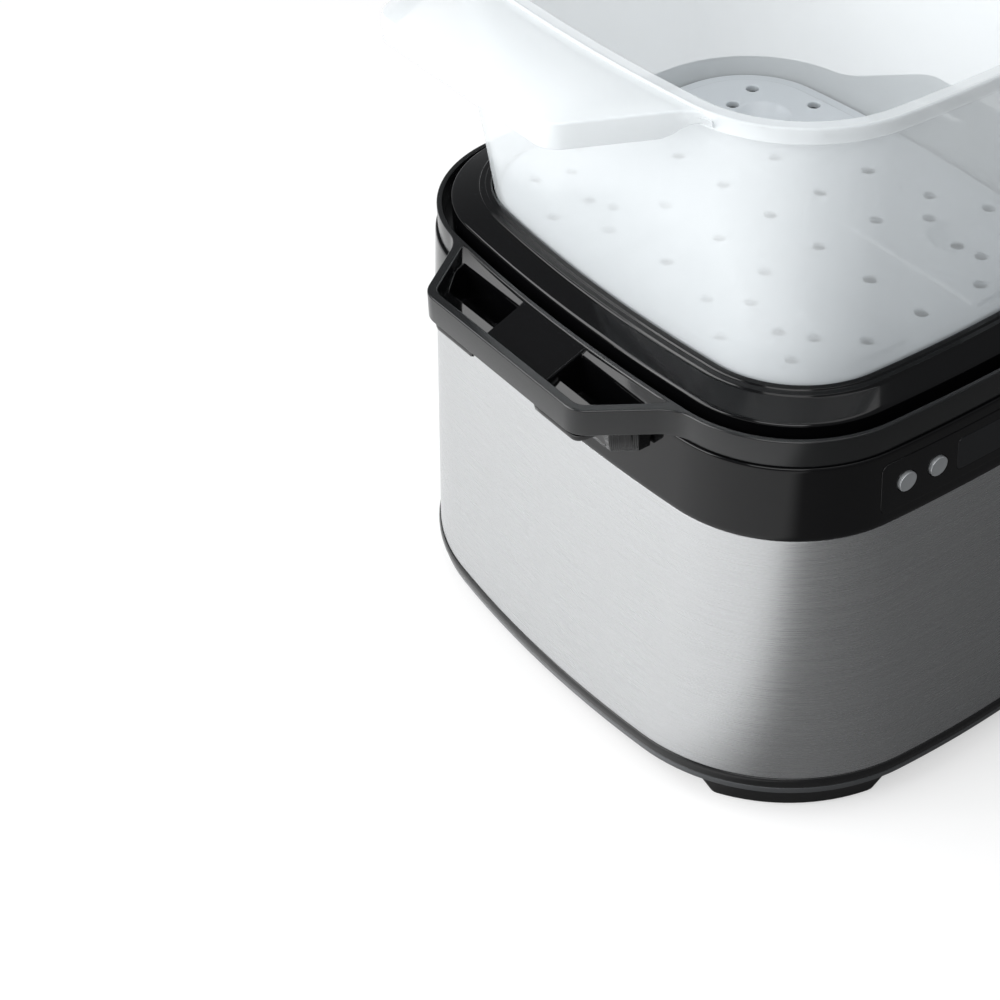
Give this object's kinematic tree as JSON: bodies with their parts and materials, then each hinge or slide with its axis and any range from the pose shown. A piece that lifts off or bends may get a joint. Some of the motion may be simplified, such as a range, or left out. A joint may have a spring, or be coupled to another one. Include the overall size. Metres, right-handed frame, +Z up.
{
  "type": "yogurt maker",
  "caption": "Counter-top yogurt maker of the electric steamer kind: flared brushed steel base with loop handles, black drip tray and a milky lift-off basket with a perforated floor.",
  "frame": {"origin": "on the bench, under the middle of the base", "axes": "+Z up, X from handle to handle, -Y towards the control panel"},
  "size_m": [0.3526, 0.3384, 0.3743],
  "materials": {
    "moulded_black": "satin moulded",
    "rubber_pad": "matt",
    "bezel_grey": "satin",
    "trim_black": "gloss",
    "steel_brushed": "brushed along the bench",
    "gloss_black": "polished",
    "frame_grey": "semi-gloss",
    "tank_grey": "satin",
    "silicone": "matt",
    "plate_steel": "pressed, satin",
    "spreader_aluminium": "cast",
    "element_steel": "oxidised",
    "zinc_steel": "zinc plated",
    "ceramic_body": "matt",
    "brass_cap": "satin",
    "board_green": "solder mask",
    "part_dark": "moulded",
    "lens_smoke": "clear smoked",
    "display_grey": "diffuser",
    "button_silver": "painted silver",
    "basket_milk": "translucent, semi-gloss",
    "floor_milk": "translucent, semi-gloss"
  },
  "bodies": {
    "base": {"base_plate": "moulded_black", "foot_pads": "rubber_pad", "base_bezel": "bezel_grey", "lower_trim": "trim_black", "steel_sleeve": "steel_brushed", "body_liner": "moulded_black", "upper_housing": "gloss_black", "handle_frame": "frame_grey", "handle_wells": "gloss_black", "water_tank": "tank_grey", "tank_seal": "silicone", "heater_plate": "plate_steel", "heat_spreader": "spreader_aluminium", "heating_element": "element_steel", "clamp_ring": "zinc_steel", "clamp_screws": "zinc_steel", "thermostat": "ceramic_body", "thermal_fuse": "brass_cap", "temp_sensor": "brass_cap", "power_board": "board_green", "power_parts": "part_dark", "board_screws": "zinc_steel", "base_screws": "zinc_steel", "cord_gland": "moulded_black", "control_fascia": "gloss_black", "display_window": "lens_smoke", "display_module": "display_grey", "control_board": "board_green", "tact_switches": "part_dark"},
    "menu_button": {"button_menu": "button_silver"},
    "minus_button": {"button_minus": "button_silver"},
    "plus_button": {"button_plus": "button_silver"},
    "start_button": {"button_start": "button_silver"},
    "tray": {"drip_tray": "gloss_black"},
    "basket": {"steam_basket": "basket_milk"},
    "loose_floor": {"basket_floor": "floor_milk"}
  },
  "joints": [
    {"name": "menu_press", "type": "slide", "parent": "base", "child": "menu_button", "axis": [0, 1, 0], "range_m": [0, 0.0008], "stiffness_N_per_m": 600, "springref_m": -0.0005},
    {"name": "minus_press", "type": "slide", "parent": "base", "child": "minus_button", "axis": [0, 1, 0], "range_m": [0, 0.0008], "stiffness_N_per_m": 600, "springref_m": -0.0005},
    {"name": "plus_press", "type": "slide", "parent": "base", "child": "plus_button", "axis": [0, 1, 0], "range_m": [0, 0.0008], "stiffness_N_per_m": 600, "springref_m": -0.0005},
    {"name": "start_press", "type": "slide", "parent": "base", "child": "start_button", "axis": [0, 1, 0], "range_m": [0, 0.0008], "stiffness_N_per_m": 600, "springref_m": -0.0005},
    {"name": "tray_lift", "type": "slide", "parent": "base", "child": "tray", "axis": [0, 0, 1], "range_m": [0, 0.04]},
    {"name": "basket_lift", "type": "slide", "parent": "tray", "child": "basket", "axis": [0, 0, 1], "range_m": [0, 0.06]},
    {"name": "floor_lift", "type": "slide", "parent": "basket", "child": "loose_floor", "axis": [0, 0, 1], "range_m": [0, 0.17]}
  ]
}
